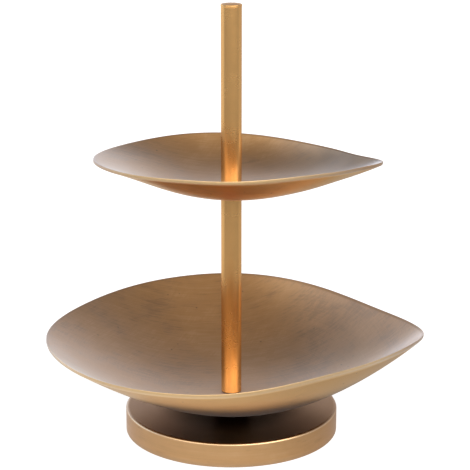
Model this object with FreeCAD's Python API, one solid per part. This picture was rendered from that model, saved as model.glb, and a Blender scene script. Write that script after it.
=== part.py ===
import FreeCAD, Part
import math
import os

from FreeCAD import Vector

# Two-tier stand: a round hollow base, a pole of two screw-on tubes, and two leaf-shaped dishes.
# Millimetres. +Z runs up the pole, the origin is where the pole's axis meets the table,
# and the pointed tips of both dishes face +X.

# ---- Driving dimensions ------------------------------------------------------------------

# Base drum, pressed from sheet, with its lower rim rolled inwards over a closing plate
BASE_DIAMETER = 200.0
BASE_HEIGHT = 23.6
BASE_WALL = 2.0
BASE_TOP_EDGE_RADIUS = 2.2
BASE_FOOT_EDGE_RADIUS = 1.0
ROLLED_RIM_WIDTH = 8.0
CLOSING_PLATE_THICKNESS = 1.2
FELT_THICKNESS = 2.2
FELT_STANDS_PROUD = 0.6

# Pole tubes and their plugs
TUBE_DIAMETER = 19.0
TUBE_WALL = 1.2
TUBE_END_CHAMFER = 0.3
LOWER_TUBE_LENGTH = 194.1
UPPER_TUBE_LENGTH = 165.6
INSERT_LENGTH = 16.0
CAP_HEAD_THICKNESS = 1.8
CAP_OVERHANG = 0.2
CAP_EDGE_RADIUS = 0.8
CAP_CROWN = 0.5
CAP_SPIGOT_LENGTH = 8.0

# M8 threaded rods, nuts and washers; the threads are plain cylinders
ROD_DIAMETER = 8.0
ROD_END_CHAMFER = 0.8
ROD_SHORT_OF_INSERT = 1.0
ROD_BELOW_NUT = 2.5
NUT_ACROSS_FLATS = 13.0
NUT_HEIGHT = 6.5
NUT_CORNER_CHAMFER = 0.6
LOAD_WASHER_DIAMETER = 60.0
LOAD_WASHER_THICKNESS = 3.0
SPRING_WASHER_DIAMETER = 14.8
SPRING_WASHER_THICKNESS = 2.0
SPRING_WASHER_SPLIT = 1.6

# Spacer collar between the base and the lower dish
COLLAR_DIAMETER = 36.0
COLLAR_WEB = 1.5
COLLAR_EDGE_CHAMFER = 0.8

# Nylon washers above and below each dish, set back all round from the outside of the tube
NYLON_WASHER_SETBACK = 0.5
FLAT_WASHER_THICKNESS = 1.5
STEP_FLANGE_THICKNESS = 1.2
STEP_SLEEVE_DIAMETER = 12.0

# Dishes
DISH_THICKNESS = 3.2
DISH_SEAT_DIAMETER = 36.0

# Tip reach from the pole's axis, tip height over the underside of the seat, and the radius of
# the belly's curve where it leaves the seat, towards the tip and towards the tail
LOWER_TIP_REACH = 181.0
LOWER_TIP_HEIGHT = 62.5
LOWER_BELLY_RADIUS_TIP = 265.0
LOWER_BELLY_RADIUS_TAIL = 170.0
UPPER_TIP_REACH = 139.0
UPPER_TIP_HEIGHT = 27.8
UPPER_BELLY_RADIUS_TIP = 305.0
UPPER_BELLY_RADIUS_TAIL = 117.0

# Half of each dish's rim, from the tip round to the tail; the other half mirrors it.
# Each point is its angle from the tip, then its reach and its height as shares of the tip's.
LOWER_RIM = (
    (0, 1.00, 1.00),
    (9, 0.96, 1.01),
    (21, 0.89, 1.02),
    (38, 0.845, 1.05),
    (62, 0.865, 1.10),
    (90, 0.96, 1.08),
    (118, 0.97, 1.03),
    (148, 0.945, 0.98),
    (180, 0.96, 0.975),
)
UPPER_RIM = (
    (0, 1.00, 1.00),
    (9, 0.895, 1.005),
    (21, 0.79, 1.04),
    (38, 0.70, 1.10),
    (62, 0.665, 1.155),
    (90, 0.70, 1.19),
    (118, 0.735, 1.20),
    (148, 0.81, 1.135),
    (180, 0.91, 1.12),
)

# Clearances
RUNNING_CLEARANCE = 0.05
HOLE_CLEARANCE = 0.2

# ---- Heights that follow from the stack --------------------------------------------------

base_radius = BASE_DIAMETER / 2
tube_radius = TUBE_DIAMETER / 2
tube_bore_radius = tube_radius - TUBE_WALL
nylon_washer_radius = tube_radius - NYLON_WASHER_SETBACK
rod_radius = ROD_DIAMETER / 2
rod_fit_radius = rod_radius + RUNNING_CLEARANCE
rod_hole_radius = rod_radius + HOLE_CLEARANCE

base_underside = BASE_HEIGHT - BASE_WALL
closing_plate_bottom = FELT_THICKNESS
load_washer_bottom = base_underside - LOAD_WASHER_THICKNESS
spring_washer_bottom = load_washer_bottom - SPRING_WASHER_THICKNESS
nut_bottom = spring_washer_bottom - NUT_HEIGHT
collar_top = BASE_HEIGHT + NUT_HEIGHT + COLLAR_WEB
lower_seat = collar_top + FLAT_WASHER_THICKNESS
lower_tube_foot = lower_seat + DISH_THICKNESS + STEP_FLANGE_THICKNESS
lower_tube_head = lower_tube_foot + LOWER_TUBE_LENGTH
upper_seat = lower_tube_head + FLAT_WASHER_THICKNESS
upper_tube_foot = upper_seat + DISH_THICKNESS + STEP_FLANGE_THICKNESS
upper_tube_head = upper_tube_foot + UPPER_TUBE_LENGTH


# ---- Shapes ------------------------------------------------------------------------------

def cylinder(radius, bottom, top):
    return Part.makeCylinder(radius, top - bottom, Vector(0, 0, bottom))


def ring(outer_radius, inner_radius, bottom, top):
    return cylinder(outer_radius, bottom, top).cut(cylinder(inner_radius, bottom, top))


def circles_at(shape, radius, height):
    """The circular edges of one radius that lie at one height."""
    found = []
    for edge in shape.Edges:
        if not isinstance(edge.Curve, Part.Circle):
            continue
        same_radius = abs(edge.Curve.Radius - radius) < 1e-6
        if same_radius and abs(edge.Curve.Center.z - height) < 1e-6:
            found.append(edge)
    return found


def base_shell():
    """Hollow drum, open below inside its rolled rim, with a hole for the rod in its top."""
    drum = cylinder(base_radius, FELT_STANDS_PROUD, BASE_HEIGHT)
    drum = drum.makeFillet(BASE_TOP_EDGE_RADIUS, circles_at(drum, base_radius, BASE_HEIGHT))
    foot_edge = circles_at(drum, base_radius, FELT_STANDS_PROUD)
    drum = drum.makeFillet(BASE_FOOT_EDGE_RADIUS, foot_edge)
    hollow = cylinder(base_radius - BASE_WALL, closing_plate_bottom, base_underside)
    mouth = cylinder(base_radius - BASE_WALL - ROLLED_RIM_WIDTH, 0, closing_plate_bottom)
    rod_hole = cylinder(rod_hole_radius, base_underside, BASE_HEIGHT)
    return drum.cut(hollow).cut(mouth).cut(rod_hole)


def base_closing_plate():
    radius = base_radius - BASE_WALL - HOLE_CLEARANCE
    return cylinder(radius, closing_plate_bottom, closing_plate_bottom + CLOSING_PLATE_THICKNESS)


def base_felt():
    radius = base_radius - BASE_WALL - ROLLED_RIM_WIDTH - HOLE_CLEARANCE
    return cylinder(radius, 0, FELT_THICKNESS)


def hex_nut(bottom):
    """Hexagon prism whose corners are turned off at both ends, bored for the rod."""
    corner_radius = NUT_ACROSS_FLATS / 2 / math.cos(math.radians(30))
    top = bottom + NUT_HEIGHT
    corners = [
        Vector(corner_radius * math.cos(math.radians(60 * side)),
               corner_radius * math.sin(math.radians(60 * side)), bottom)
        for side in range(6)
    ]
    hexagon = Part.Face(Part.makePolygon(corners + corners[:1]))
    prism = hexagon.extrude(Vector(0, 0, NUT_HEIGHT))
    blank = cylinder(corner_radius, bottom, top)
    ends = circles_at(blank, corner_radius, bottom) + circles_at(blank, corner_radius, top)
    blank = blank.makeChamfer(NUT_CORNER_CHAMFER, ends)
    return prism.common(blank).cut(cylinder(rod_fit_radius, bottom, top))


def spring_washer():
    """Split ring."""
    top = load_washer_bottom
    washer = ring(SPRING_WASHER_DIAMETER / 2, rod_hole_radius, spring_washer_bottom, top)
    split = Part.makeBox(
        SPRING_WASHER_DIAMETER, SPRING_WASHER_SPLIT, SPRING_WASHER_THICKNESS,
        Vector(0, -SPRING_WASHER_SPLIT / 2, spring_washer_bottom))
    return washer.cut(split)


def threaded_rod(bottom, top):
    rod = cylinder(rod_radius, bottom, top)
    ends = circles_at(rod, rod_radius, bottom) + circles_at(rod, rod_radius, top)
    return rod.makeChamfer(ROD_END_CHAMFER, ends)


def spacer_collar():
    """Upturned cup that covers the lock nut and bears on it."""
    radius = COLLAR_DIAMETER / 2
    collar = cylinder(radius, BASE_HEIGHT, collar_top)
    collar = collar.makeChamfer(COLLAR_EDGE_CHAMFER, circles_at(collar, radius, collar_top))
    nut_room = NUT_ACROSS_FLATS / 2 / math.cos(math.radians(30)) + HOLE_CLEARANCE
    nut_top = BASE_HEIGHT + NUT_HEIGHT
    collar = collar.cut(cylinder(nut_room, BASE_HEIGHT, nut_top))
    return collar.cut(cylinder(rod_hole_radius, nut_top, collar_top))


def flat_washer(top):
    return ring(nylon_washer_radius, rod_fit_radius, top - FLAT_WASHER_THICKNESS, top)


def step_washer(seat):
    """Flange on top of the dish, with a sleeve that lines the dish's hole."""
    dish_top = seat + DISH_THICKNESS
    flange = cylinder(nylon_washer_radius, dish_top, dish_top + STEP_FLANGE_THICKNESS)
    sleeve = cylinder(STEP_SLEEVE_DIAMETER / 2, seat, dish_top)
    bore = cylinder(rod_fit_radius, seat, dish_top + STEP_FLANGE_THICKNESS)
    return flange.fuse(sleeve).cut(bore).removeSplitter()


def tube(foot, head):
    blank = cylinder(tube_radius, foot, head)
    ends = circles_at(blank, tube_radius, foot) + circles_at(blank, tube_radius, head)
    blank = blank.makeChamfer(TUBE_END_CHAMFER, ends)
    return blank.cut(cylinder(tube_bore_radius, foot, head))


def foot_insert(foot):
    """Insert that screws on to a rod; the tube turns with it, a running fit round it."""
    return ring(tube_bore_radius - RUNNING_CLEARANCE, rod_fit_radius, foot, foot + INSERT_LENGTH)


def head_insert(head):
    """Insert pressed into the head of the lower tube."""
    return ring(tube_bore_radius, rod_fit_radius, head - INSERT_LENGTH, head)


def top_cap():
    """Round-edged head, slightly domed, on a spigot that is pressed into the tube."""
    head_radius = tube_radius + CAP_OVERHANG
    edge_centre_radius = head_radius - CAP_EDGE_RADIUS
    edge_top = upper_tube_head + CAP_HEAD_THICKNESS
    edge_centre_height = edge_top - CAP_EDGE_RADIUS
    slant = CAP_EDGE_RADIUS * math.sqrt(0.5)
    dome_radius = (edge_centre_radius ** 2 + CAP_CROWN ** 2) / (2 * CAP_CROWN)
    half_turn = math.asin(edge_centre_radius / dome_radius) / 2
    spigot_foot = upper_tube_head - CAP_SPIGOT_LENGTH

    inner_foot = Vector(0, 0, spigot_foot)
    spigot_corner = Vector(tube_bore_radius, 0, spigot_foot)
    under_head = Vector(tube_bore_radius, 0, upper_tube_head)
    head_corner = Vector(head_radius, 0, upper_tube_head)
    head_side = Vector(head_radius, 0, edge_centre_height)
    edge_middle = Vector(edge_centre_radius + slant, 0, edge_centre_height + slant)
    edge_end = Vector(edge_centre_radius, 0, edge_top)
    dome_top = Vector(0, 0, edge_top + CAP_CROWN)
    dome_middle = Vector(
        dome_radius * math.sin(half_turn), 0,
        edge_top + CAP_CROWN - dome_radius * (1 - math.cos(half_turn)))
    outline = Part.Wire([
        Part.makeLine(inner_foot, spigot_corner),
        Part.makeLine(spigot_corner, under_head),
        Part.makeLine(under_head, head_corner),
        Part.makeLine(head_corner, head_side),
        Part.Arc(head_side, edge_middle, edge_end).toShape(),
        Part.Arc(edge_end, dome_middle, dome_top).toShape(),
        Part.makeLine(dome_top, inner_foot),
    ])
    return Part.Face(outline).revolve(Vector(0, 0, 0), Vector(0, 0, 1), 360)


def dish(rim, tip_reach, tip_height, belly_tip, belly_tail, seat):
    """Leaf-shaped dish: one curve from the seat out to the rim, carried round the pole.

    In each direction the curve is a fourth-degree Bezier. It leaves the flat seat level,
    curves up with the belly radius of that direction and ends on the rim. Its control
    points are joined round the dish by closed splines, and that surface, thickened
    upwards, is the wall.
    """
    seat_radius = DISH_SEAT_DIAMETER / 2
    mirrored = [(360 - angle, reach, height) for angle, reach, height in rim[-2:0:-1]]
    points = list(rim) + mirrored
    curve_tip = 1 / (2 * belly_tip)
    curve_tail = 1 / (2 * belly_tail)
    rings = [[] for _ in range(5)]
    for angle, reach, height in points:
        turn = math.radians(angle)
        span = reach * tip_reach - seat_radius
        towards_tip = (1 + math.cos(turn)) / 2
        belly_curve = curve_tail + (curve_tip - curve_tail) * towards_tip
        rise = belly_curve * span ** 2
        rim_height = height * tip_height - DISH_THICKNESS
        heights = (0, 0, rise / 6, rise / 2, rim_height)
        for step, lift in enumerate(heights):
            radius = seat_radius + span * step / 4
            rings[step].append(
                Vector(radius * math.cos(turn), radius * math.sin(turn), seat + lift))
    angles = [angle for angle, _, _ in points] + [360]
    splines = []
    for ring_points in rings:
        spline = Part.BSplineCurve()
        spline.interpolate(Points=ring_points, Parameters=angles, PeriodicFlag=True)
        splines.append(spline)
    poles = [list(across) for across in zip(*[spline.getPoles() for spline in splines])]
    surface = Part.BSplineSurface()
    surface.buildFromPolesMultsKnots(
        poles, splines[0].getMultiplicities(), [5, 5], splines[0].getKnots(), [0, 1],
        True, False, splines[0].Degree, 4)
    underside = surface.toShape()
    lift = Vector(0, 0, DISH_THICKNESS)
    wall = underside.extrude(lift)
    seat_edge = min(underside.Edges, key=lambda edge: edge.BoundBox.ZMax)
    seat_disc = Part.Face(Part.Wire([seat_edge])).extrude(lift)
    hole_radius = STEP_SLEEVE_DIAMETER / 2 + RUNNING_CLEARANCE
    return wall.fuse(seat_disc).cut(cylinder(hole_radius, seat, seat + DISH_THICKNESS))


# ---- Pieces ------------------------------------------------------------------------------

nodes = {
    "base_shell": base_shell(),
    "base_closing_plate": base_closing_plate(),
    "base_felt": base_felt(),
    "base_stud": threaded_rod(
        nut_bottom - ROD_BELOW_NUT, lower_tube_foot + INSERT_LENGTH - ROD_SHORT_OF_INSERT),
    "base_nut": hex_nut(nut_bottom),
    "base_lock_nut": hex_nut(BASE_HEIGHT),
    "base_spring_washer": spring_washer(),
    "base_load_washer": ring(
        LOAD_WASHER_DIAMETER / 2, rod_hole_radius, load_washer_bottom, base_underside),
    "spacer_collar": spacer_collar(),
    "lower_flat_washer": flat_washer(lower_seat),
    "lower_bowl": dish(
        LOWER_RIM, LOWER_TIP_REACH, LOWER_TIP_HEIGHT,
        LOWER_BELLY_RADIUS_TIP, LOWER_BELLY_RADIUS_TAIL, lower_seat),
    "lower_step_washer": step_washer(lower_seat),
    "lower_tube_foot_insert": foot_insert(lower_tube_foot),
    "lower_tube": tube(lower_tube_foot, lower_tube_head),
    "lower_tube_head_insert": head_insert(lower_tube_head),
    "joining_stud": threaded_rod(
        lower_tube_head - INSERT_LENGTH + ROD_SHORT_OF_INSERT,
        upper_tube_foot + INSERT_LENGTH - ROD_SHORT_OF_INSERT),
    "upper_flat_washer": flat_washer(upper_seat),
    "upper_bowl": dish(
        UPPER_RIM, UPPER_TIP_REACH, UPPER_TIP_HEIGHT,
        UPPER_BELLY_RADIUS_TIP, UPPER_BELLY_RADIUS_TAIL, upper_seat),
    "upper_step_washer": step_washer(upper_seat),
    "upper_tube_insert": foot_insert(upper_tube_foot),
    "upper_tube": tube(upper_tube_foot, upper_tube_head),
    "top_cap": top_cap(),
}

os.makedirs("parts", exist_ok=True)
for name, shape in nodes.items():
    box = shape.BoundBox
    print(f"{name}: {len(shape.Solids)} solid, valid {shape.isValid()}, "
          f"{shape.Volume / 1000:.2f} cm3, z {box.ZMin:.2f} to {box.ZMax:.2f}")
    shape.exportStep(f"parts/{name}.step")
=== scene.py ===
"""Two-tier serving stand in lacquered brass: a round hollow base, a pole of two screw-on tubes
and two leaf-shaped dishes, with the rods, nuts and washers that clamp them together.

Metres throughout. +Z runs up the pole, the origin is where its axis meets the table, and the
pointed tips of both dishes face +X.
"""

import math

import bpy
import numpy as np
from bpy.props import FloatProperty, FloatVectorProperty, IntProperty, PointerProperty
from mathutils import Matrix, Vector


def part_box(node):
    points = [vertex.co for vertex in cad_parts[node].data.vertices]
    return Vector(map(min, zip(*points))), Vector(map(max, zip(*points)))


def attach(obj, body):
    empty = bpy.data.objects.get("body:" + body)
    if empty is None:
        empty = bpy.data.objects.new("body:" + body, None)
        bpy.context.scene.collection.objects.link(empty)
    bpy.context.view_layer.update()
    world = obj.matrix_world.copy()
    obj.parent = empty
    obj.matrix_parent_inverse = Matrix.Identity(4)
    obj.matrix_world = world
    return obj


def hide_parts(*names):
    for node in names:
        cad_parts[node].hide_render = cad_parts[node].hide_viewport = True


bl_info = {
    "name": "Tiered serving stand",
    "version": (1, 0, 0),
    "blender": (4, 5, 0),
    "location": "View3D > Sidebar > Stand",
    "description": "Builds a two-tier serving stand around its engineering model",
    "category": "Add Mesh",
}

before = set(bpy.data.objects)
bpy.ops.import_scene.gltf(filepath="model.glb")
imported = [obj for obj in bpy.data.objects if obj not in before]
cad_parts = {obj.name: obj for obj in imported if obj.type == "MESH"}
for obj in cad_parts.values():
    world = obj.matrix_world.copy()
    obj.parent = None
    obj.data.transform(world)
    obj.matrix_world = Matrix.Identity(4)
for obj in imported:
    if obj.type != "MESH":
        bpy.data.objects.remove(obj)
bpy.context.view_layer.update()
MM = 0.001


def top_of(node):
    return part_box(node)[1].z


def foot_of(node):
    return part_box(node)[0].z


def radius_of(node):
    """Radius of a round node about the pole's axis."""
    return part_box(node)[1].y


# ---- Sizes and finishes ------------------------------------------------------------------

def length(name, description, millimetres):
    return FloatProperty(
        name=name, description=description, default=millimetres * MM,
        subtype="DISTANCE", unit="LENGTH", precision=5)


def share(name, description, default):
    return FloatProperty(
        name=name, description=description, default=default, min=0.0, max=1.0,
        subtype="FACTOR")


def colour(name, description, default):
    return FloatVectorProperty(
        name=name, description=description, default=default, size=3, min=0.0, max=1.0,
        subtype="COLOR")


class StandSizes(bpy.types.PropertyGroup):
    """Small shapes that the engineering model leaves plain."""
    lip_rounding: length("Lip rounding", "Radius along both edges of a dish's rim", 0.95)
    edge_rounding: length("Edge rounding", "Radius on the ends of the tubes", 0.35)
    soft_edge: length("Soft edge", "Radius on washers, plates and the collar", 0.3)
    base_wall: length("Base wall", "Thickness of the base's sheet", 2.0)
    base_top_rounding: length("Base top rounding", "Radius of the base's upper edge", 2.2)
    base_foot_rounding: length("Base foot rounding", "Radius of the base's lower edge", 1.0)
    rolled_rim: length("Rolled rim", "Width of the rim rolled in under the base", 8.0)
    rod_hole: length("Rod hole", "Radius of the holes that the rods pass", 4.2)
    tube_wall: length("Tube wall", "Thickness of the tubes", 1.2)
    dish_wall: length("Dish wall", "Upright thickness of the dishes", 3.2)
    dish_seat: length("Dish seat", "Radius of the flat middle of a dish", 18.0)
    dish_hole: length("Dish hole", "Radius of the hole in a dish", 6.05)
    thread_pitch: length("Thread pitch", "Rise of the rods' thread in one turn", 1.25)
    thread_depth: length("Thread depth", "Depth of the rods' thread", 0.62)
    rod_chamfer: length("Rod chamfer", "Length of the cone on each end of a rod", 0.8)
    cap_rounding: length("Cap rounding", "Radius round the cap's upper edge", 0.8)
    cap_crown: length("Cap crown", "Rise of the cap's dome", 0.5)
    steps_around: IntProperty(
        name="Steps around", description="Faces round a dish", default=360, min=24, max=480)


class BrassFinish(bpy.types.PropertyGroup):
    """Brushed brass colour under a satin lacquer."""
    inside: colour("Dish inside", "Metal on the inside of the dishes", (0.62, 0.35, 0.14))
    outside: colour("Dish outside", "Metal on the outside of the dishes", (0.77, 0.47, 0.17))
    pole: colour("Pole", "Metal of the tubes and the cap", (0.93, 0.54, 0.205))
    base: colour("Base", "Metal of the base", (0.66, 0.385, 0.165))
    # Also the colour of the painted shade under the lower dish and on the tube under the upper
    # dish.
    tarnish_and_shade: colour("Tarnish", "Colour of dark spots and age", (0.16, 0.075, 0.03))
    lacquer: share("Lacquer", "Strength of the clear lacquer", 0.9)
    lacquer_roughness: share("Lacquer roughness", "Roughness of the clear lacquer", 0.32)
    inside_roughness: share("Inside roughness", "Roughness inside the dishes", 0.42)
    outside_roughness: share("Outside roughness", "Roughness outside the dishes", 0.33)
    pole_roughness: share("Pole roughness", "Roughness of the tubes", 0.26)
    base_roughness: share("Base roughness", "Roughness of the base", 0.36)
    brushing: share("Brushing", "Height of the brush strokes", 0.16)
    mottling: share("Mottling", "Strength of the cloudy change of tone", 0.5)


class HardwareFinish(bpy.types.PropertyGroup):
    """Finishes of the pieces between and under the brass ones."""
    zinc: colour("Zinc", "Plated nuts, rods and steel washers", (0.62, 0.63, 0.62))
    zinc_shade: colour("Zinc shade", "Darker grains of the plating", (0.34, 0.36, 0.38))
    nylon: colour("Nylon", "Nylon washers", (0.16, 0.085, 0.035))
    enamel: colour("Enamel", "Plate that closes the base", (0.02, 0.02, 0.021))
    felt: colour("Felt", "Felt under the base", (0.045, 0.04, 0.038))
    felt_fibre: colour("Felt fibre", "Paler fibres in the felt", (0.13, 0.12, 0.11))


# Light of the room by height, from level to straight up: behind the stand and in front of it
BACK_SKY = (
    (0.00, (0.97, 0.98, 1.00)), (0.34, (0.92, 0.93, 0.96)), (0.52, (0.42, 0.40, 0.39)),
    (0.68, (0.21, 0.18, 0.15)), (0.86, (0.27, 0.22, 0.15)), (1.00, (0.42, 0.33, 0.22)))
FRONT_SKY = (
    (0.00, (0.42, 0.42, 0.42)), (0.45, (0.42, 0.41, 0.40)), (0.75, (0.40, 0.36, 0.30)),
    (1.00, (0.42, 0.35, 0.27)))


class StageLook(bpy.types.PropertyGroup):
    """Floor, lights and camera."""
    floor: colour("Floor", "Colour of the floor", (0.34, 0.34, 0.34))
    floor_white: FloatProperty(
        name="Floor white", description="Light added to the floor where it is seen", default=0.9)
    room: FloatProperty(name="Room", description="Strength of the light all round", default=1.0)
    lamps: FloatProperty(
        name="Lamps", description="Strength of the two soft lamps in front", default=3.2)
    camera_away: length("Camera away", "How far in front of the pole the camera is", 1575.9)
    camera_height: length("Camera height", "Height of the camera", 639.2)
    camera_tilt: FloatProperty(
        name="Camera tilt", description="How far down the camera looks",
        default=math.radians(15.9), subtype="ANGLE", unit="ROTATION")
    lens: FloatProperty(name="Lens", description="Focal length in millimetres", default=135.49)
    shift: FloatProperty(name="Shift", description="Sideways shift of the lens", default=0.0078)


# ---- Meshes ------------------------------------------------------------------------------

def finish_mesh(name, points, quads, triangles=None, uv=None):
    """A smooth mesh turned so that its faces point outwards.

    The sign is that of the volume: the sum over all triangles of a . (b x c) / 6.
    """
    points = np.asarray(points, float)
    if triangles is None:
        triangles = np.zeros((0, 3), int)
    corners = points[np.concatenate([quads[:, [0, 1, 2]], quads[:, [0, 2, 3]], triangles])]
    volume = np.einsum("ij,ij->i", corners[:, 0], np.cross(corners[:, 1], corners[:, 2])).sum()
    if volume < 0:
        quads, triangles = quads[:, ::-1], triangles[:, ::-1]
        uv = None if uv is None else uv[:, ::-1]
    mesh = bpy.data.meshes.new(name)
    mesh.from_pydata(points.tolist(), [], quads.tolist() + triangles.tolist())
    if uv is not None:
        mesh.uv_layers.new(name="Wall").data.foreach_set("uv", uv.ravel())
    mesh.shade_smooth()
    mesh.validate()
    piece = bpy.data.objects.new(name, mesh)
    bpy.context.scene.collection.objects.link(piece)
    return piece


def end_fans(rows, columns):
    """Triangles from the first and the last ring of a grid to two points added after it."""
    around = np.arange(columns)
    ahead, last, start = (around + 1) % columns, (rows - 1) * columns, rows * columns
    return np.concatenate([
        np.stack([np.full(columns, start), ahead, around], -1),
        np.stack([np.full(columns, start + 1), last + around, last + ahead], -1)])


def grid_faces(rows, columns, close_rows):
    """Four-sided faces of a grid that is closed along its columns, and along its rows if told."""
    r = np.arange(rows if close_rows else rows - 1)[:, None]
    c = np.arange(columns)[None, :]
    r_next, c_next = (r + 1) % rows, (c + 1) % columns
    corners = [r * columns + c, r * columns + c_next,
               r_next * columns + c_next, r_next * columns + c]
    return np.stack(corners, -1).reshape(-1, 4)


def turned(name, profile, steps=192, closed=True):
    """Surface of revolution about the pole's axis.

    A point of the profile (r, z) at the turn t is (r cos t, r sin t, z). A closed profile
    is a ring; an open one starts and ends on the axis, where its end points are single
    vertices joined by fans of triangles.
    """
    profile = np.asarray(profile, float)
    turn = np.arange(steps) * 2 * math.pi / steps
    rings = profile if closed else profile[1:-1]
    points = np.stack([
        rings[:, :1] * np.cos(turn), rings[:, :1] * np.sin(turn),
        np.repeat(rings[:, 1:], steps, 1)], -1).reshape(-1, 3)
    quads, fans = grid_faces(len(rings), steps, closed), None
    if not closed:
        points = np.concatenate([points, [[0, 0, profile[0, 1]], [0, 0, profile[-1, 1]]]])
        fans = end_fans(len(rings), steps)
    return finish_mesh(name, points, quads, fans)


def rounded(corners, closed=True, turns=6):
    """Profile with its corners rounded: each is (r, z, radius).

    The arc touches both sides at radius / tan(half the corner's angle) from it. A point
    is added on each side, a little way past the arc, so that flat faces shade flat.
    """
    out, count = [], len(corners)
    for index, (r, z, radius) in enumerate(corners):
        here = np.array((r, z))
        if radius == 0 or (not closed and index in (0, count - 1)):
            out.append(here)
            continue
        before = np.array(corners[index - 1][:2]) - here
        after = np.array(corners[(index + 1) % count][:2]) - here
        room = min(np.linalg.norm(before), np.linalg.norm(after)) * 0.49
        before, after = before / np.linalg.norm(before), after / np.linalg.norm(after)
        half = math.acos(np.clip(before @ after, -1, 1)) / 2
        reach = min(radius / math.tan(half), room)
        radius = reach * math.tan(half)
        middle = here + (before + after) / np.linalg.norm(before + after) * (
            radius / math.sin(half))
        start, end = here + before * reach - middle, here + after * reach - middle
        part = np.linspace(0, 1, turns + 1)[:, None]
        sweep = math.pi - 2 * half
        arc = (np.sin((1 - part) * sweep) * start + np.sin(part * sweep) * end) / math.sin(sweep)
        extra = min(reach * 0.35, room - reach * 0.99)
        out.append(here + before * (reach + extra))
        out.extend(arc + middle)
        out.append(here + after * (reach + extra))
    return np.array(out)


def closed_spline(angles, values):
    """Cubic spline that closes on itself, through values at angles; returned as a function.

    The slopes at the angles make the second derivative meet on both sides of each.
    """
    angles, values = np.asarray(angles, float), np.asarray(values, float)
    count = len(angles)
    step = np.diff(np.append(angles, angles[0] + 360))
    rise = (np.roll(values, -1) - values) / step
    system = np.zeros((count, count))
    index = np.arange(count)
    before = np.roll(step, 1)
    system[index, index] = 2 * (1 / before + 1 / step)
    system[index, (index - 1) % count] += 1 / before
    system[index, (index + 1) % count] += 1 / step
    slopes = np.linalg.solve(system, 3 * (np.roll(rise / step, 1) + rise / step))

    def at(where):
        where = np.mod(where, 360)
        k = np.searchsorted(angles, where, side="right") - 1
        t = (where - angles[k]) / step[k]
        ahead = (k + 1) % count
        return ((2 * t ** 3 - 3 * t ** 2 + 1) * values[k]
                + (t ** 3 - 2 * t ** 2 + t) * step[k] * slopes[k]
                + (3 * t ** 2 - 2 * t ** 3) * values[ahead]
                + (t ** 3 - t ** 2) * step[k] * slopes[ahead])
    return at


# Half of each dish's rim, from the tip round to the tail; the other half mirrors it. Each
# point is its angle from the tip, then its reach and its height as shares of the tip's.
LOWER_RIM = (
    (0, 1.00, 1.00), (9, 0.96, 1.01), (21, 0.89, 1.02), (38, 0.845, 1.05), (62, 0.865, 1.10),
    (90, 0.96, 1.08), (118, 0.97, 1.03), (148, 0.945, 0.98), (180, 0.96, 0.975))
UPPER_RIM = (
    (0, 1.00, 1.00), (9, 0.895, 1.005), (21, 0.79, 1.04), (38, 0.70, 1.10), (62, 0.665, 1.155),
    (90, 0.70, 1.19), (118, 0.735, 1.20), (148, 0.81, 1.135), (180, 0.91, 1.12))


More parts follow.
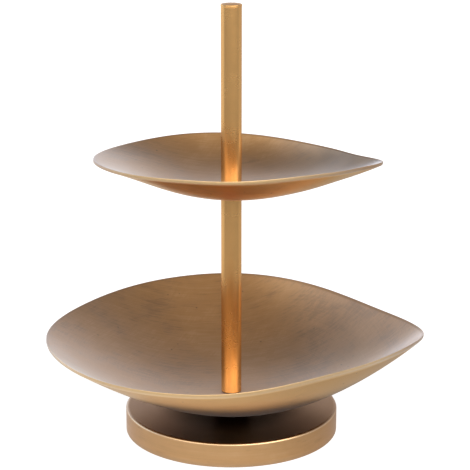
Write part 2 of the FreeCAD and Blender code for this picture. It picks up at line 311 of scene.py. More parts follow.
def dish(name, rim, tip_reach, tip_height, belly_tip, belly_tail, sizes):
    """Leaf-shaped dish: a closed wall with two parameters, round the pole and round the wall.

    The bellies are the underside's radii beside the seat, towards the tip and the tail.

    On the underside, at the turn t and the share s of the way from the seat to the rim, the
    reach is seat + span(t) s and the height is rise(t) (s^2 - s^4) + rim(t) s^4. Reach,
    rise and rim run smoothly round the pole through the stations of the rim. The inside
    is the underside lifted by the wall's thickness, and both edges of the rim are round.
    """
    seat, wall, lip = foot_of(name), sizes.dish_wall, sizes.lip_rounding
    stations = np.array(list(rim) + [(360 - a, r, h) for a, r, h in rim[-2:0:-1]])
    angles, radians = stations[:, 0], np.radians(stations[:, 0])
    span = stations[:, 1] * tip_reach - sizes.dish_seat
    bend = 0.5 / belly_tail + (0.5 / belly_tip - 0.5 / belly_tail) * (1 + np.cos(radians)) / 2
    turn = np.arange(sizes.steps_around) * 360 / sizes.steps_around
    seat_x, seat_y, span_x, span_y, rise, top = (
        closed_spline(angles, values)(turn)[None, :] for values in (
            sizes.dish_seat * np.cos(radians), sizes.dish_seat * np.sin(radians),
            span * np.cos(radians), span * np.sin(radians),
            bend * span ** 2, stations[:, 2] * tip_height - wall))
    reach = np.hypot(span_x, span_y)

    # The way round the wall: out along the underside, round the lip, back along the inside
    # and down the hole. Each point is s, how far in from the rim, and how high in the wall.
    hole = (sizes.dish_hole - sizes.dish_seat) / sizes.dish_seat
    corner = np.linspace(0, math.pi / 2, 7)
    flat = np.array([hole, hole * 0.985, hole * 0.6, hole * 0.25, 0])
    grow = np.linspace(0, 1, 50)[1:] ** 0.8
    along = np.concatenate([flat, grow[:-1], [1.0]])
    fade = np.concatenate([np.zeros(len(flat)), np.ones(len(grow))])
    edge_in = np.concatenate([
        lip * fade[:-1] * along[:-1], [lip], lip * (1 - np.sin(corner[1:]))])
    edge_s = np.concatenate([along[:-1], [1.0], np.ones(6)])
    edge_up = np.concatenate([np.zeros(len(along)), lip * (1 - np.cos(corner[1:]))])
    s = np.concatenate([edge_s, edge_s[::-1]])[:, None]
    back = np.concatenate([edge_in, edge_in[::-1]])[:, None]
    up = np.concatenate([edge_up, wall - edge_up[::-1]])[:, None]

    s_moved = np.where(s > 0, s - back / reach, 0.0)
    radial = np.where(s < 0, 1 + s, 1.0)
    x = seat_x * radial + span_x * s_moved
    y = seat_y * radial + span_y * s_moved
    z = seat + rise * (s_moved ** 2 - s_moved ** 4) + top * s_moved ** 4 + up
    points = np.stack([x, y, z], -1)
    rows, columns = len(s), sizes.steps_around
    points = points.reshape(-1, 3)

    # The map runs round the pole, then from 0 at the hole under the dish, by way of the
    # rim at a half, to 1 at the hole inside.
    path = np.concatenate([edge_s, 2 - edge_s[::-1]])
    path = (path - path.min()) / (path.max() - path.min())
    r, c = np.indices((rows, columns))
    ahead = np.append(path[1:], path[-1])
    u = np.stack([c, c + 1, c + 1, c], -1) / columns
    v = np.stack([path[r], path[r], ahead[r], ahead[r]], -1)
    uv = np.stack([u, v], -1).reshape(-1, 4, 2)
    skin = finish_mesh(name + "_skin", points, grid_faces(rows, columns, True), uv=uv)
    skin.data.polygons.foreach_set("material_index", (path[r] >= 0.5).astype("i4").ravel())
    return skin


def threaded_rod(name, node, sizes):
    """Rod with a helical thread, closed by a cone and a flat at each end.

    At the turn t and the height z the radius is the outside radius less the depth times a
    triangle wave of z / pitch - t / (2 pi), and never more than the cone at the ends.
    """
    low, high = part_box(node)
    outside, pitch, steps, rows_a_turn = high.x, sizes.thread_pitch, 40, 12
    rows = int((high.z - low.z) / pitch * rows_a_turn)
    z = np.linspace(low.z, high.z, rows)[:, None]
    turn = (np.arange(steps) * 2 * math.pi / steps)[None, :]
    wave = np.abs(np.mod(z / pitch - turn / (2 * math.pi), 1) * 2 - 1)
    radius = outside - sizes.thread_depth * np.clip(wave * 1.3 - 0.15, 0, 1)
    cone = outside - sizes.rod_chamfer + np.minimum(z - low.z, high.z - z)
    radius = np.minimum(radius, cone)
    points = np.stack([
        radius * np.cos(turn), radius * np.sin(turn), z + 0 * turn], -1).reshape(-1, 3)
    points = np.concatenate([points, [[0, 0, low.z], [0, 0, high.z]]])
    return finish_mesh(name, points, grid_faces(rows, steps, False), end_fans(rows, steps))


# ---- Shader building ---------------------------------------------------------------------

class Term:
    """One socket of a shader; sums and products of it add Math nodes."""

    def __init__(self, shader, socket):
        self.shader, self.socket = shader, socket

    def math(self, operation, *others):
        return self.shader.node(
            "ShaderNodeMath", {"operation": operation},
            dict(enumerate((self,) + others)))["Value"]

    def flipped(self, operation, other):
        return self.shader.node(
            "ShaderNodeMath", {"operation": operation}, {0: other, 1: self})["Value"]

    def __add__(self, other):
        return self.math("ADD", other)

    def __radd__(self, other):
        return self.flipped("ADD", other)

    def __sub__(self, other):
        return self.math("SUBTRACT", other)

    def __rsub__(self, other):
        return self.flipped("SUBTRACT", other)

    def __mul__(self, other):
        return self.math("MULTIPLY", other)

    def __rmul__(self, other):
        return self.flipped("MULTIPLY", other)

    def __truediv__(self, other):
        return self.math("DIVIDE", other)

    def __rtruediv__(self, other):
        return self.flipped("DIVIDE", other)

    def between(self, low, high):
        """0 below low, 1 above high, smooth between; the other way round if low > high."""
        ends = (low, high, 0.0, 1.0) if low < high else (high, low, 1.0, 0.0)
        return self.shader.node(
            "ShaderNodeMapRange", {"interpolation_type": "SMOOTHSTEP"},
            dict(zip(range(5), (self,) + ends)))["Result"]


class Outputs:
    """The outputs of a node, each as a Term."""

    def __init__(self, shader, node):
        self.shader, self.node = shader, node

    def __getitem__(self, name):
        return Term(self.shader, self.node.outputs[name])


# Sockets of the Mix node for colours, which share their names with its other kinds
MIX_FACTOR, MIX_LOW, MIX_HIGH, MIX_RESULT = 0, 6, 7, 2


class Shader:
    """Node tree of one material or of the world."""

    def __init__(self, owner):
        owner.use_nodes = True
        self.owner, self.tree = owner, owner.node_tree
        self.tree.nodes.clear()

    def node(self, kind, settings=None, inputs=None):
        """Adds a node: its settings first, then its sockets by name or number."""
        node = self.tree.nodes.new(kind)
        for key, value in (settings or {}).items():
            if key == "stops":
                ramp = node.color_ramp.elements
                while len(ramp) < len(value):
                    ramp.new(0.5)
                for stop, (position, shade) in zip(ramp, value):
                    stop.position, stop.color = position, tuple(shade) + (1.0,)
            else:
                setattr(node, key, value)
        for key, value in (inputs or {}).items():
            socket = node.inputs[key]
            if isinstance(value, Term):
                self.tree.links.new(value.socket, socket)
            elif hasattr(value, "__len__") and len(value) == 3 and socket.type == "RGBA":
                socket.default_value = tuple(value) + (1.0,)
            else:
                socket.default_value = value
        return Outputs(self, node)

    def mix(self, factor, low, high):
        """Colour between low and high."""
        return self.node(
            "ShaderNodeMix", {"data_type": "RGBA"},
            {MIX_FACTOR: factor, MIX_LOW: low, MIX_HIGH: high})[MIX_RESULT]

    def place(self):
        """Where the surface is, in metres from the foot of the pole."""
        return self.node("ShaderNodeTexCoord")["Object"]

    def tint(self, colour, amount, low, high):
        """Colour times low where the amount is 0 and times high where it is 1."""
        return self.node("ShaderNodeVectorMath", {"operation": "MULTIPLY"}, {
            0: colour, 1: self.mix(amount, low, high)})["Vector"]

    def stretched(self, vector, scale, turn=0.0):
        """Vector turned about the pole's axis, then scaled along each way."""
        turned_way = self.node(
            "ShaderNodeMapping", None, {"Vector": vector, "Rotation": (0, 0, turn)})["Vector"]
        return self.node(
            "ShaderNodeMapping", None, {"Vector": turned_way, "Scale": scale})["Vector"]

    def noise(self, vector, scale, detail=4.0, roughness=0.55):
        return self.node(
            "ShaderNodeTexNoise", {"noise_dimensions": "3D"},
            {"Vector": vector, "Scale": scale, "Detail": detail, "Roughness": roughness})["Fac"]

    def around(self, vector, tight, radial, upright):
        """Coordinates for strokes about the pole: unit direction, reach and height, scaled."""
        parts = self.node("ShaderNodeSeparateXYZ", None, {0: vector})
        x, y, z = parts["X"], parts["Y"], parts["Z"]
        reach = (x * x + y * y + 1e-9).math("SQRT")
        return self.node("ShaderNodeCombineXYZ", None, {
            "X": x / reach * tight, "Y": y / reach * tight,
            "Z": reach * radial + z * upright})["Vector"], reach, z

    def bump(self, height, strength, distance):
        return self.node("ShaderNodeBump", None, {
            "Height": height, "Strength": strength, "Distance": distance})["Normal"]

    def surface(self, inputs):
        """Principled surface with these inputs, joined to the output."""
        shade = self.node("ShaderNodeBsdfPrincipled", None, inputs)
        self.node("ShaderNodeOutputMaterial", None, {"Surface": shade["BSDF"]})
        return self.owner


def blank(name):
    return Shader(bpy.data.materials.new(name))


def blend(share_high, low, high):
    """Plain colour between two plain colours."""
    return tuple(a + (b - a) * share_high for a, b in zip(low, high))


def dress(piece, material, body, slot, *nodes):
    """Gives a new piece its material and body, and hides the CAD nodes that it stands for; slot is
    not used.
    """
    piece.data.materials.append(material)
    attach(piece, body)
    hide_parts(*nodes)
    return piece


def recoat(nodes, material):
    """Puts a material on CAD nodes that keep their shape."""
    for node in nodes:
        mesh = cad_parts[node].data
        mesh.materials.clear()
        mesh.materials.append(material)


# ---- Materials ---------------------------------------------------------------------------

def specks(shader, place, per_metre, share_dark):
    """Small scattered dark dots, 1 where they are."""
    cells = shader.node("ShaderNodeTexVoronoi", None, {"Vector": place, "Scale": per_metre})
    chance = shader.node("ShaderNodeSeparateColor", None, {0: cells["Color"]})["Red"]
    near = cells["Distance"].between(0.22, 0.08)
    return near * chance.between(1 - share_dark, 1 - share_dark + 0.01)


def dish_brass(finish, name, inner):
    """One side of a dish: soft clouds, fine brush strokes, a lip painted lighter as a highlight
    and partly as wear; inside, a pale painted reflection towards the tip; outside, painted shade
    on the lower dish's underside.
    """
    shader = blank(name)
    place = shader.place()
    wall_map = shader.node("ShaderNodeUVMap", {"uv_map": "Wall"})["UV"]
    across = shader.node("ShaderNodeSeparateXYZ", None, {0: wall_map})["Y"]
    lip = across.between(0.4945, 0.4985) * across.between(0.5035, 0.501)
    round_way, _, z = shader.around(place, 5.0, 900.0, 0.0)
    clouds = shader.noise(place, 17.0, 3.0, 0.55)
    patches = shader.noise(place, 42.0, 5.0, 0.65)
    long_strokes = shader.noise(
        shader.stretched(place, (18.0, 520.0, 120.0), math.radians(-7)), 1.0, 5.0, 0.7)
    cross_strokes = shader.noise(
        shader.stretched(place, (30.0, 560.0, 120.0), math.radians(-64)), 1.0, 4.0, 0.7)
    turning = shader.noise(round_way, 1.0, 3.0, 0.6)
    strokes = (long_strokes - 0.5) * 0.8 + (turning - 0.5) * 0.35
    strokes = strokes + (cross_strokes - 0.5) * patches.between(0.42, 0.66) * 0.6
    dots = specks(shader, place, 170.0, 0.05)
    tone = (clouds - 0.5) * (1.9 * finish.mottling) + (patches - 0.5) * (
        1.0 * finish.mottling) + strokes * 1.1

    colour, rough, worn = ((finish.inside, finish.inside_roughness, 0.55) if inner else
                           (finish.outside, finish.outside_roughness, 0.30))
    darker = blend(worn, colour, finish.tarnish_and_shade)
    metal = shader.mix(tone.between(0.02, -0.30) * 0.65, colour, darker)
    metal = shader.mix(tone.between(0.0, 0.34) * 0.40, metal, (0.80, 0.54, 0.30))
    metal = shader.mix(dots * 0.55, metal, finish.tarnish_and_shade)
    parts = shader.node("ShaderNodeSeparateXYZ", None, {0: place})
    # Painted highlight, partly wear: the lip is painted a lighter gold; inside it is darker bronze
    # except towards the front, where it is painted light.
    lip_highlight = (0.96, 0.67, 0.34)
    if inner:
        # Painted reflection: a pale grey patch inside each dish towards its tip, stronger in the
        # upper dish.
        film = parts["X"].between(0.02, 0.11) * (z.between(0.15, 0.22) * 0.5 + 0.20)
        metal = shader.mix(film, metal, (0.92, 0.82, 0.72))
        lip_highlight = shader.mix(parts["Y"].between(-0.02, -0.09), (0.50, 0.28, 0.12), lip_highlight)
    metal = shader.mix(lip * 0.85, metal, lip_highlight)
    rough = rough + (patches - 0.5) * 0.16 + strokes * 0.14
    height = (strokes * (0.9 if inner else 0.3) + patches * 0.3 - dots * 0.4) * (1 - lip)
    coat, sheen, coat_ior = clouds.between(0.62, 0.36) * 0.5 + finish.lacquer * 0.6, 0.6, 1.6
    if not inner:
        # Painted shade: the underside of the lower dish is darkened and loses its lacquer.
        under = across.between(0.47, 0.41) * z.between(0.2, 0.1)
        metal = shader.mix(under * 0.85, metal, finish.tarnish_and_shade)
        coat, sheen, coat_ior = (1 - under) * 0.35, 0.10, 1.45
    return shader.surface({
        "Base Color": metal, "Metallic": 1.0, "Roughness": rough,
        "Coat Weight": coat, "Coat Roughness": finish.lacquer_roughness,
        "Coat IOR": coat_ior, "Sheen Weight": sheen, "Sheen Roughness": 0.45,
        "Specular Tint": (1.0, 1.0, 1.0) if inner else (1.0, 0.88, 0.7),
        "Sheen Tint": (0.93, 0.96, 1.0),
        "Normal": shader.bump(height, finish.brushing, 0.0004)})


def pole_brass(finish):
    """Drawn tube: fine upright draw lines, faint rings, a dull darker band under the upper dish
    that is painted shade and some tarnish, and painted shade on the cap's top.
    """
    shader = blank("brass_pole")
    place = shader.place()
    upright, _, z = shader.around(place, 9.0, 0.0, 2.0)
    rings, _, _ = shader.around(place, 0.6, 0.0, 1400.0)
    bands = shader.noise(upright, 1.0, 3.0, 0.6)
    lines = shader.noise(rings, 1.0, 2.0, 0.5)
    clouds = shader.noise(place, 55.0, 4.0, 0.6)
    joint = top_of("lower_tube")
    # Painted shade with some tarnish: the lower tube is darker and rougher just under the upper
    # dish.
    dull = z.between(joint - 0.026, joint - 0.004) * z.between(joint + 0.001, joint)
    wisps = shader.noise(shader.stretched(place, (120.0, 120.0, 45.0)), 1.0, 3.0, 0.6)
    marks = wisps.between(0.60, 0.66) * z.between(joint - 0.022, joint - 0.012) * z.between(
        joint + 0.001, joint)
    dots = specks(shader, place, 260.0, 0.03)
    tone = (bands - 0.5) * 0.8 + (clouds - 0.5) * 0.4
    metal = shader.mix((tone * -1.0).between(-0.02, 0.25) * 0.30, finish.pole,
                       blend(0.6, finish.tarnish_and_shade, finish.pole))
    metal = shader.mix(tone.between(0.0, 0.3) * 0.25, metal, (0.84, 0.56, 0.28))
    # Painted shade: the cap's top face is darkened to brown and loses most of its lacquer.
    crown = z.between(top_of("top_cap") - 0.0008, top_of("top_cap") - 0.0002)
    metal = shader.mix(dull * 0.22 + marks * 0.5 + dots * 0.5, metal, finish.tarnish_and_shade)
    metal = shader.mix(crown * 0.8, metal, (0.30, 0.18, 0.11))
    rough = finish.pole_roughness + (clouds - 0.5) * 0.14 + (lines - 0.5) * 0.03 + dull * 0.06
    return shader.surface({
        "Base Color": metal, "Metallic": 1.0, "Roughness": rough,
        "Coat Weight": (1 - crown) * 0.25, "Coat Roughness": 0.2,
        "Specular Tint": (1.0, 0.8, 0.6),
        "Normal": shader.bump(bands, finish.brushing * 0.4, 0.0001)})


def base_brass(finish):
    """Turned drum: faint rings, soft scuffs, dark specks, an upper edge painted lighter as a
    highlight and smoothed as from wear, and painted shade on the top face.
    """
    shader = blank("brass_base")
    place = shader.place()
    ring_way, reach, z = shader.around(place, 1.1, 1300.0, 1500.0)
    rings = shader.noise(ring_way, 1.0, 3.0, 0.6)
    broad_way, _, _ = shader.around(place, 2.5, 120.0, 260.0)
    broad = shader.noise(broad_way, 1.0, 3.0, 0.55)
    clouds = shader.noise(place, 30.0, 5.0, 0.6)
    scuffs = shader.noise(shader.stretched(place, (45.0, 45.0, 260.0)), 1.0, 4.0, 0.6)
    scuffs = scuffs.between(0.60, 0.72)
    dots = specks(shader, place, 210.0, 0.03)
    low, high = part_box("base_shell")
    # Painted highlight, partly wear: the rounded upper edge is painted lighter and made smoother.
    rubbed_and_highlit_edge = z.between(high.z - 0.0026, high.z - 0.0012) * reach.between(
        high.x - 0.0036, high.x - 0.002)
    foot = z.between(low.z + 0.006, low.z)
    tone = (clouds - 0.5) * 1.3 * finish.mottling + (broad - 0.5) * 0.5 + (rings - 0.5) * 0.4
    metal = shader.mix((tone * -1.0).between(-0.02, 0.25) * 0.40, finish.base,
                       blend(0.62, finish.tarnish_and_shade, finish.base))
    metal = shader.mix(tone.between(0.0, 0.3) * 0.30, metal, (0.82, 0.57, 0.33))
    metal = shader.mix(rubbed_and_highlit_edge * 0.5, metal, (0.90, 0.66, 0.40))
    metal = shader.mix(foot * 0.35, metal, (0.42, 0.33, 0.25))
    metal = shader.mix(dots * 0.6 + scuffs * 0.12, metal, finish.tarnish_and_shade)
    # Painted shade: the top face is darkened, near black where it lies under the lower dish, with
    # less lacquer.
    shade_under_dish = z.between(high.z - 0.0015, high.z - 0.0005) * reach.between(0.076, 0.042)
    level = z.between(high.z - 0.0015, high.z - 0.0003)
    metal = shader.mix(level * 0.6, metal, (0.24, 0.14, 0.08))
    metal = shader.mix(shade_under_dish * 0.95, metal, (0.03, 0.009, 0.002))
    lacquer = finish.lacquer * (1 - shade_under_dish * 0.97) * (1 - level * 0.4)
    rough = finish.base_roughness + (clouds - 0.5) * 0.14 + (rings - 0.5) * 0.10
    rough = rough + scuffs * 0.10 - rubbed_and_highlit_edge * 0.08 + foot * 0.08
    return shader.surface({
        "Base Color": metal, "Metallic": 1.0, "Roughness": rough,
        "Coat Weight": lacquer, "Coat Roughness": finish.lacquer_roughness,
        "Specular Tint": (1.0, 0.82, 0.68),
        "Normal": shader.bump(rings * 0.6 + broad * 0.4 - dots * 0.4, finish.brushing, 0.0003)})


def zinc_plate(finish):
    """Zinc plating: crystalline grains, fine scratches, dull film."""
    shader = blank("zinc_plate")
    place = shader.place()
    grain = shader.node(
        "ShaderNodeTexVoronoi", None, {"Vector": place, "Scale": 1100.0})["Distance"]
    film = shader.noise(place, 160.0, 4.0, 0.6)
    lines, _, _ = shader.around(place, 2.0, 2200.0, 2200.0)
    scratches = shader.noise(lines, 1.0, 2.0, 0.5)
    metal = shader.mix(grain.between(0.1, 0.7) * 0.4 + film * 0.25, finish.zinc,
                       finish.zinc_shade)
    rough = 0.26 + film * 0.16 + scratches * 0.10
    return shader.surface({
        "Base Color": metal, "Metallic": 1.0, "Roughness": rough,
        "Normal": shader.bump(scratches * 0.5 + grain * 0.5, 0.25, 0.0001)})


def nylon(finish):
    """Matt nylon with a fine moulded grain."""
    shader = blank("nylon")
    place = shader.place()
    grain = shader.noise(place, 1800.0, 3.0, 0.6)
    clouds = shader.noise(place, 120.0, 3.0, 0.5)
    tint = shader.mix(clouds.between(0.35, 0.7) * 0.5, finish.nylon, (0.22, 0.13, 0.06))
    return shader.surface({
        "Base Color": tint, "Roughness": 0.42 + grain * 0.22, "IOR": 1.53,
        "Normal": shader.bump(grain, 0.3, 0.0001)})


def enamel(finish):
    """Sprayed black enamel: orange peel and dust."""
    shader = blank("black_enamel")
    place = shader.place()
    peel = shader.noise(place, 420.0, 3.0, 0.5)
    dust = shader.noise(place, 900.0, 4.0, 0.7).between(0.58, 0.74)
    tint = shader.mix(dust * 0.35, finish.enamel, (0.12, 0.115, 0.11))
    return shader.surface({
        "Base Color": tint, "Roughness": 0.32 + peel * 0.16 + dust * 0.2,
        "Normal": shader.bump(peel, 0.25, 0.0002)})


def felt_cloth(finish):
    """Pressed felt: matted fibres in every direction."""
    shader = blank("felt")
    place = shader.place()
    tangle = shader.noise(place, 900.0, 5.0, 0.7)
    one_way = shader.noise(shader.stretched(place, (300.0, 2600.0, 900.0), 0.5), 1.0, 3.0, 0.6)
    other_way = shader.noise(
        shader.stretched(place, (300.0, 2600.0, 900.0), -0.9), 1.0, 3.0, 0.6)
    fibres = (one_way.math("MAXIMUM", other_way)).between(0.52, 0.72)
    tint = shader.mix(fibres * 0.6 + (tangle - 0.5) * 0.3, finish.felt, finish.felt_fibre)
    return shader.surface({
        "Base Color": tint, "Roughness": 0.85 + tangle * 0.12, "Sheen Weight": 0.4,
        "Normal": shader.bump(fibres * 0.6 + tangle * 0.4, 0.7, 0.0003)})


def pale_floor(look):
    """Smooth pale floor that glows: white to the eye, and in reflections painted light round the
    stand and behind it, dimmer on the right.
    """
    shader = blank("pale_floor")
    place = shader.place()
    cloud = shader.noise(place, 3.0, 2.0, 0.4)
    tint = shader.mix(cloud.between(0.3, 0.7) * 0.06, look.floor, (0.30, 0.30, 0.30))
    parts = shader.node("ShaderNodeSeparateXYZ", None, {0: place})
    x, y = parts["X"], parts["Y"]
    reach = (x * x + y * y).math("SQRT")
    # Painted light: in reflections the floor glows most round the stand and behind it, less on the
    # right.
    painted_light_pool = reach.between(0.75, 0.10).math("MAXIMUM", y.between(-0.3, 0.2))
    seen = shader.node("ShaderNodeLightPath")["Is Camera Ray"]
    return shader.surface({
        "Base Color": tint, "Roughness": 0.75, "Specular IOR Level": 0.1,
        "Emission Color": shader.mix(
            seen.math("MAXIMUM", painted_light_pool * (0.20 + x.between(0.14, -0.06) * 0.27)),
            (0.0, 0.0, 0.0), (1.0, 1.0, 1.0)),
        "Emission Strength": look.floor_white})


def brass(kind):
    """The brass material of one kind, made the first time it is asked for."""
    makers = {"brass_pole": pole_brass, "brass_base": base_brass}
    found = bpy.data.materials.get(kind)
    return found or makers[kind](bpy.context.scene.stand_brass)


# ---- Operators ---------------------------------------------------------------------------

class BuildDishes(bpy.types.Operator):
    """Both leaf-shaped dishes, with their round lips"""
    bl_idname = "stand.dishes"
    bl_label = "Dishes"

    def execute(self, context):
        sizes = context.scene.stand_sizes
        finish = context.scene.stand_brass
        outer = dish_brass(finish, "brass_dish_outside", False)
        inner = dish_brass(finish, "brass_dish_inside", True)
        lower = dish("lower_bowl", LOWER_RIM, tip_reach=0.1810, tip_height=0.0625,
                     belly_tip=0.265, belly_tail=0.170, sizes=sizes)
        upper = dish("upper_bowl", UPPER_RIM, tip_reach=0.1390, tip_height=0.0278,
                     belly_tip=0.305, belly_tail=0.117, sizes=sizes)
        for piece, body in ((lower, "lower_dish"), (upper, "upper_dish")):
            dress(piece, outer, body, "dish_finish", body.replace("dish", "bowl"))
            piece.data.materials.append(inner)
        return {"FINISHED"}


class BuildBase(bpy.types.Operator):
    """Hollow base drum with its rolled lower rim"""
    bl_idname = "stand.base"
    bl_label = "Base drum"

    def execute(self, context):
        sizes = context.scene.stand_sizes
        low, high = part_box("base_shell")
        edge, wall = high.x, sizes.base_wall
        mouth = edge - wall - sizes.rolled_rim
        shelf = foot_of("base_closing_plate")
        profile = rounded([
            (sizes.rod_hole, high.z, sizes.soft_edge), (edge, high.z, sizes.base_top_rounding),
            (edge, low.z, sizes.base_foot_rounding), (mouth, low.z, sizes.soft_edge),
            (mouth, shelf, sizes.soft_edge), (edge - wall, shelf, sizes.soft_edge),
            (edge - wall, high.z - wall, 1.5 * MM),
            (sizes.rod_hole, high.z - wall, sizes.soft_edge)], turns=8)
        drum = turned("base_drum", profile, 320)
        dress(drum, brass("brass_base"), "stand", "base_finish", "base_shell")
        return {"FINISHED"}


class BuildUnderside(bpy.types.Operator):
    """Closing plate and felt disc under the base"""
    bl_idname = "stand.underside"
    bl_label = "Closing plate and felt"

    def execute(self, context):
        sizes, finish = context.scene.stand_sizes, context.scene.stand_hardware
        for name, node, material, slot, soft in (
                ("closing_disc", "base_closing_plate", enamel(finish), "closing_plate",
                 sizes.soft_edge),
                ("felt_disc", "base_felt", felt_cloth(finish), "base_felt", 0.6 * MM)):
            low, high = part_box(node)
            profile = rounded([
                (0, low.z, 0), (high.x, low.z, soft), (high.x, high.z, soft),
                (0, high.z, 0)], closed=False)
            dress(turned(name, profile, 192, closed=False), material, "stand", slot, node)
        return {"FINISHED"}


class BuildCollar(bpy.types.Operator):
    """Upturned cup between the base and the lower dish"""
    bl_idname = "stand.collar"
    bl_label = "Spacer collar"

    def execute(self, context):
        sizes = context.scene.stand_sizes
        low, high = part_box("spacer_collar")
        nut_top = top_of("base_lock_nut")
        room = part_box("base_lock_nut")[1].x + 0.2 * MM
        profile = rounded([
            (room, low.z, sizes.soft_edge), (high.x, low.z, sizes.soft_edge),
            (high.x, high.z, 0.8 * MM), (sizes.rod_hole, high.z, sizes.soft_edge),
            (sizes.rod_hole, nut_top, sizes.soft_edge), (room, nut_top, sizes.soft_edge)])
        collar = turned("collar_cup", profile, 128)
        dress(collar, brass("brass_base"), "stand", "base_finish", "spacer_collar")
        return {"FINISHED"}


class BuildTubes(bpy.types.Operator):
    """The two tubes of the pole, with rounded ends"""
    bl_idname = "stand.tubes"
    bl_label = "Pole tubes"

    def execute(self, context):
        sizes = context.scene.stand_sizes
        for name, node, body in (
                ("lower_pole_tube", "lower_tube", "lower_pole"),
                ("upper_pole_tube", "upper_tube", "upper_pole")):
            low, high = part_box(node)
            bore, soft = high.x - sizes.tube_wall, sizes.edge_rounding
            profile = rounded([
                (high.x, low.z, soft), (high.x, high.z, soft),
                (bore, high.z, soft * 0.5), (bore, low.z, soft * 0.5)])
            tube = turned(name, profile, 128)
            dress(tube, brass("brass_pole"), body, "pole_finish", node)
        return {"FINISHED"}


class BuildCap(bpy.types.Operator):
    """Domed cap on its spigot"""
    bl_idname = "stand.cap"
    bl_label = "Top cap"

    def execute(self, context):
        sizes = context.scene.stand_sizes
        low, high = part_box("top_cap")
        head_foot, spigot = top_of("upper_tube"), radius_of("upper_tube") - sizes.tube_wall
        edge = high.x - sizes.cap_rounding
        shoulder = high.z - sizes.cap_crown
        ball = (edge ** 2 + sizes.cap_crown ** 2) / (2 * sizes.cap_crown)
        below = rounded([
            (0, low.z, 0), (spigot, low.z, sizes.soft_edge), (spigot, head_foot, 0.1 * MM),
            (high.x, head_foot, 0.25 * MM), (high.x, shoulder - sizes.cap_rounding, 0)],
            closed=False)
        bend = np.linspace(0, math.pi / 2, 10)[1:, None]
        corner = np.hstack([edge + sizes.cap_rounding * np.cos(bend),
                            shoulder + sizes.cap_rounding * (np.sin(bend) - 1)])
        reach = np.linspace(edge, 0, 10)[1:, None]
        dome = np.hstack([reach, high.z - ball + np.sqrt(ball ** 2 - reach ** 2)])
        cap = turned("pole_cap", np.vstack([below, corner, dome]), 128, closed=False)
        dress(cap, brass("brass_pole"), "upper_pole", "pole_finish", "top_cap")
        return {"FINISHED"}


class BuildRods(bpy.types.Operator):
    """The two threaded rods"""
    bl_idname = "stand.rods"
    bl_label = "Threaded rods"

    def execute(self, context):
        sizes = context.scene.stand_sizes
        material = zinc_plate(context.scene.stand_hardware)
        for name, node, body in (
                ("base_rod", "base_stud", "stand"), ("joining_rod", "joining_stud", "lower_pole")):
            dress(threaded_rod(name, node, sizes), material, body, "zinc_hardware", node)
        recoat(("base_nut", "base_lock_nut", "base_spring_washer", "base_load_washer",
                "lower_tube_foot_insert", "lower_tube_head_insert", "upper_tube_insert"),
               material)
        return {"FINISHED"}


class BuildWashers(bpy.types.Operator):
    """Nylon washers under and over each dish"""
    bl_idname = "stand.washers"
    bl_label = "Nylon washers"

    def execute(self, context):
        sizes = context.scene.stand_sizes
        material = nylon(context.scene.stand_hardware)
        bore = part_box("base_stud")[1].x + 0.05 * MM
        soft = sizes.soft_edge
        for tier in ("lower", "upper"):
            low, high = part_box(f"{tier}_flat_washer")
            flat = rounded([(bore, low.z, soft * 0.5), (high.x, low.z, soft),
                            (high.x, high.z, soft), (bore, high.z, soft * 0.5)])
            ring = turned(f"{tier}_flat_ring", flat, 96)
            dress(ring, material, f"{tier}_dish", "nylon_washer", f"{tier}_flat_washer")
            low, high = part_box(f"{tier}_step_washer")
            sleeve, dish_top = sizes.dish_hole - 0.05 * MM, low.z + sizes.dish_wall
            stepped = rounded([
                (bore, low.z, soft * 0.5), (sleeve, low.z, soft), (sleeve, dish_top, 0.05 * MM),
                (high.x, dish_top, soft), (high.x, high.z, soft), (bore, high.z, soft * 0.5)])
            ring = turned(f"{tier}_step_ring", stepped, 96)
            dress(ring, material, f"{tier}_dish", "nylon_washer", f"{tier}_step_washer")
        return {"FINISHED"}


def studio_world(look):
    """Soft studio: a cool band low behind, a warm dim ceiling, a dim front with a soft lamp
    on each side of the camera. White to the eye beyond the floor."""
    world = bpy.data.worlds.new("studio")
    bpy.context.scene.world = world
    shader = Shader(world)
    way = shader.node("ShaderNodeTexCoord")["Generated"]
    parts = shader.node("ShaderNodeSeparateXYZ", None, {0: way})
    x, y, z = parts["X"], parts["Y"], parts["Z"]
    back = shader.node("ShaderNodeValToRGB", {"stops": BACK_SKY}, {"Fac": z})["Color"]
    front = shader.node("ShaderNodeValToRGB", {"stops": FRONT_SKY}, {"Fac": z})["Color"]
    left, high = x.between(0.02, -0.20), z.between(0.45, 0.75)
    back = shader.tint(back, left * (1 - high), (0.88, 0.88, 0.92), (1.25, 1.50, 1.95))
    back = shader.tint(back, left * high, (1.0, 1.0, 1.0), (0.40, 0.40, 0.44))
    back = shader.tint(back, x.between(0.05, 0.30) * (1 - high), (1.0, 1.0, 1.0),
                       (0.72, 0.72, 0.76))
    sky = shader.mix((y * -1.0).between(-0.25, 0.35), back, front)
    level = (x * x + y * y + 1e-6).math("SQRT")
    side, ahead = math.sin(math.radians(38)), -math.cos(math.radians(38))
    left_lamp, right_lamp = (
        ((x * way_out + y * ahead) / level).between(0.62, 0.96) for way_out in (-side, side))
    lamps = left_lamp * 0.7 + right_lamp * 1.15
    height = z.between(-0.10, 0.05) * 0.25 + z.between(0.25, 0.48) * 0.75
    lamps = lamps * height * z.between(0.88, 0.70) * look.lamps
    room = shader.node("ShaderNodeBackground", None, {"Color": sky, "Strength": look.room})
    lit = shader.node("ShaderNodeBackground", None, {
        "Color": (1.0, 0.97, 0.92), "Strength": lamps})
    white = shader.node("ShaderNodeBackground", None, {"Color": (1.0, 1.0, 1.0)})
    both = shader.node("ShaderNodeAddShader", None, {
        0: room["Background"], 1: lit["Background"]})["Shader"]
    seen = shader.node("ShaderNodeLightPath")["Is Camera Ray"]
    out = shader.node("ShaderNodeMixShader", None, {
        0: seen, 1: both, 2: white["Background"]})["Shader"]
    shader.node("ShaderNodeOutputWorld", None, {"Surface": out})


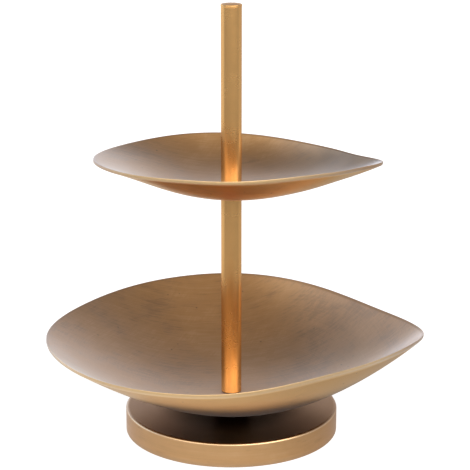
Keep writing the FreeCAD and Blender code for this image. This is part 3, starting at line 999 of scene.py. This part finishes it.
class BuildStage(bpy.types.Operator):
    """Pale floor, studio light and camera"""
    bl_idname = "stand.stage"
    bl_label = "Stage"

    def execute(self, context):
        scene, look = context.scene, context.scene.stand_stage
        scene.view_settings.view_transform = "Standard"
        size, steps = 9.0, 8
        line = np.linspace(-size, size, steps)
        x, y = np.meshgrid(line, line)
        points = np.stack([x, y, 0 * x], -1).reshape(-1, 3)
        r, c = np.meshgrid(np.arange(steps - 1), np.arange(steps - 1), indexing="ij")
        first = (r * steps + c).ravel()
        faces = np.stack([first, first + 1, first + steps + 1, first + steps], -1)
        mesh = bpy.data.meshes.new("floor")
        mesh.from_pydata(points.tolist(), [], faces.tolist())
        mesh.materials.append(pale_floor(look))
        floor = bpy.data.objects.new("floor", mesh)
        scene.collection.objects.link(floor)
        studio_world(look)
        camera = bpy.data.objects.new("camera", bpy.data.cameras.new("camera"))
        camera.data.lens, camera.data.sensor_width = look.lens, 36.0
        camera.data.shift_x = look.shift
        camera.data.clip_start, camera.data.clip_end = 0.05, 60.0
        camera.location = (0.0, -look.camera_away, look.camera_height)
        camera.rotation_euler = (math.pi / 2 - look.camera_tilt, 0.0, 0.0)
        scene.collection.objects.link(camera)
        scene.camera = camera
        return {"FINISHED"}


class StandPanel(bpy.types.Panel):
    """Buttons for every piece of the stand"""
    bl_idname = "VIEW3D_PT_serving_stand"
    bl_label = "Serving stand"
    bl_space_type = "VIEW_3D"
    bl_region_type = "UI"
    bl_category = "Stand"

    def draw(self, context):
        for operator in OPERATORS:
            self.layout.operator(operator.bl_idname)
        for group in (context.scene.stand_sizes, context.scene.stand_brass,
                      context.scene.stand_hardware, context.scene.stand_stage):
            box = self.layout.box()
            for name in group.bl_rna.properties.keys():
                if name not in ("rna_type", "name"):
                    box.prop(group, name)


GROUPS = {"stand_sizes": StandSizes, "stand_brass": BrassFinish,
          "stand_hardware": HardwareFinish, "stand_stage": StageLook}
OPERATORS = (BuildDishes, BuildBase, BuildUnderside, BuildCollar, BuildTubes, BuildCap,
             BuildRods, BuildWashers, BuildStage)


def register():
    for name, group in GROUPS.items():
        bpy.utils.register_class(group)
        setattr(bpy.types.Scene, name, PointerProperty(type=group))
    for operator in OPERATORS + (StandPanel,):
        bpy.utils.register_class(operator)


def unregister():
    for operator in (StandPanel,) + OPERATORS[::-1]:
        bpy.utils.unregister_class(operator)
    for name, group in GROUPS.items():
        delattr(bpy.types.Scene, name)
        bpy.utils.unregister_class(group)


def main():
    register()
    for operator in OPERATORS:
        family, action = operator.bl_idname.split(".")
        getattr(getattr(bpy.ops, family), action)()


if __name__ == "__main__":
    main()
